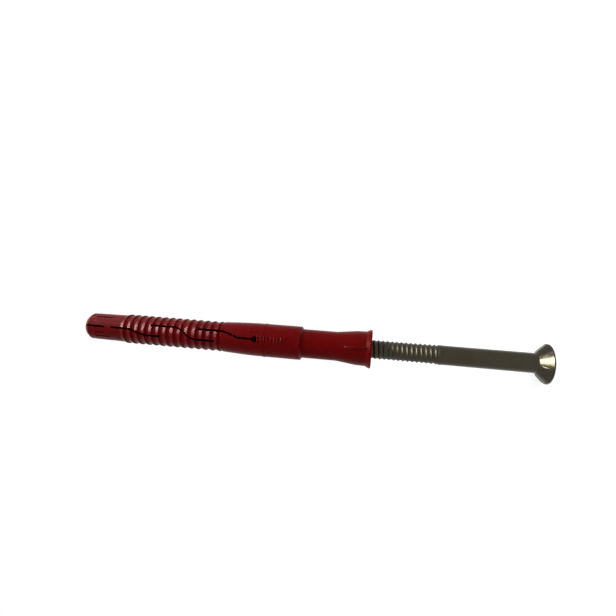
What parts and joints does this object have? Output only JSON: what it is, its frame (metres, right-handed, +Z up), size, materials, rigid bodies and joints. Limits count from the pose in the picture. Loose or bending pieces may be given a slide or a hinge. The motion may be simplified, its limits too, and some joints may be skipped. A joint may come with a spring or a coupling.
{
  "type": "frame anchor",
  "caption": "Plastic through-fixing sleeve with a ribbed, slotted expansion zone and a flared collar, holding a half-driven countersunk steel screw.",
  "frame": {"origin": "on the surface that the anchor stands on, in the middle of the face of the screw's head", "axes": "+Z up along the anchor from the head of the screw to the tip of the sleeve, -Y out of the front row of slots in the sleeve"},
  "size_m": [0.0126, 0.0126, 0.1536],
  "materials": {
    "sleeve_plastic": "satin moulded polyamide, dark red",
    "screw_steel": "zinc plated steel"
  },
  "bodies": {
    "root": {"sleeve": "sleeve_plastic", "screw": "screw_steel"}
  },
  "joints": []
}
